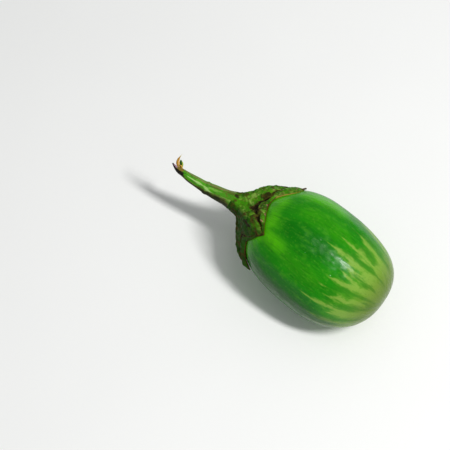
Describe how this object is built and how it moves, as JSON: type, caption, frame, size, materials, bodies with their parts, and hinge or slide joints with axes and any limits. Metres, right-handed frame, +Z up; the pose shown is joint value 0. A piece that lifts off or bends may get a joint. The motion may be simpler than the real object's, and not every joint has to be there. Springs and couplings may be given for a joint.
{
  "type": "garden egg",
  "caption": "Small egg-shaped garden egg as picked, with its lobed calyx and a thin ribbed stem with a torn end, lying on its side on a small flat spot.",
  "frame": {"origin": "middle of the small flat spot under the fruit, on the surface that it lies on", "axes": "+Z up; +X towards the blossom end, -X towards the stem, along the fruit's length seen from above"},
  "size_m": [0.1069, 0.0488, 0.0489],
  "materials": {
    "fruit_skin": "gloss",
    "calyx_skin": "matte",
    "stem_skin": "satin",
    "dry_bark": "matte"
  },
  "bodies": {
    "root": {"fruit": "fruit_skin", "calyx": "calyx_skin", "stem": "stem_skin"}
  },
  "joints": []
}
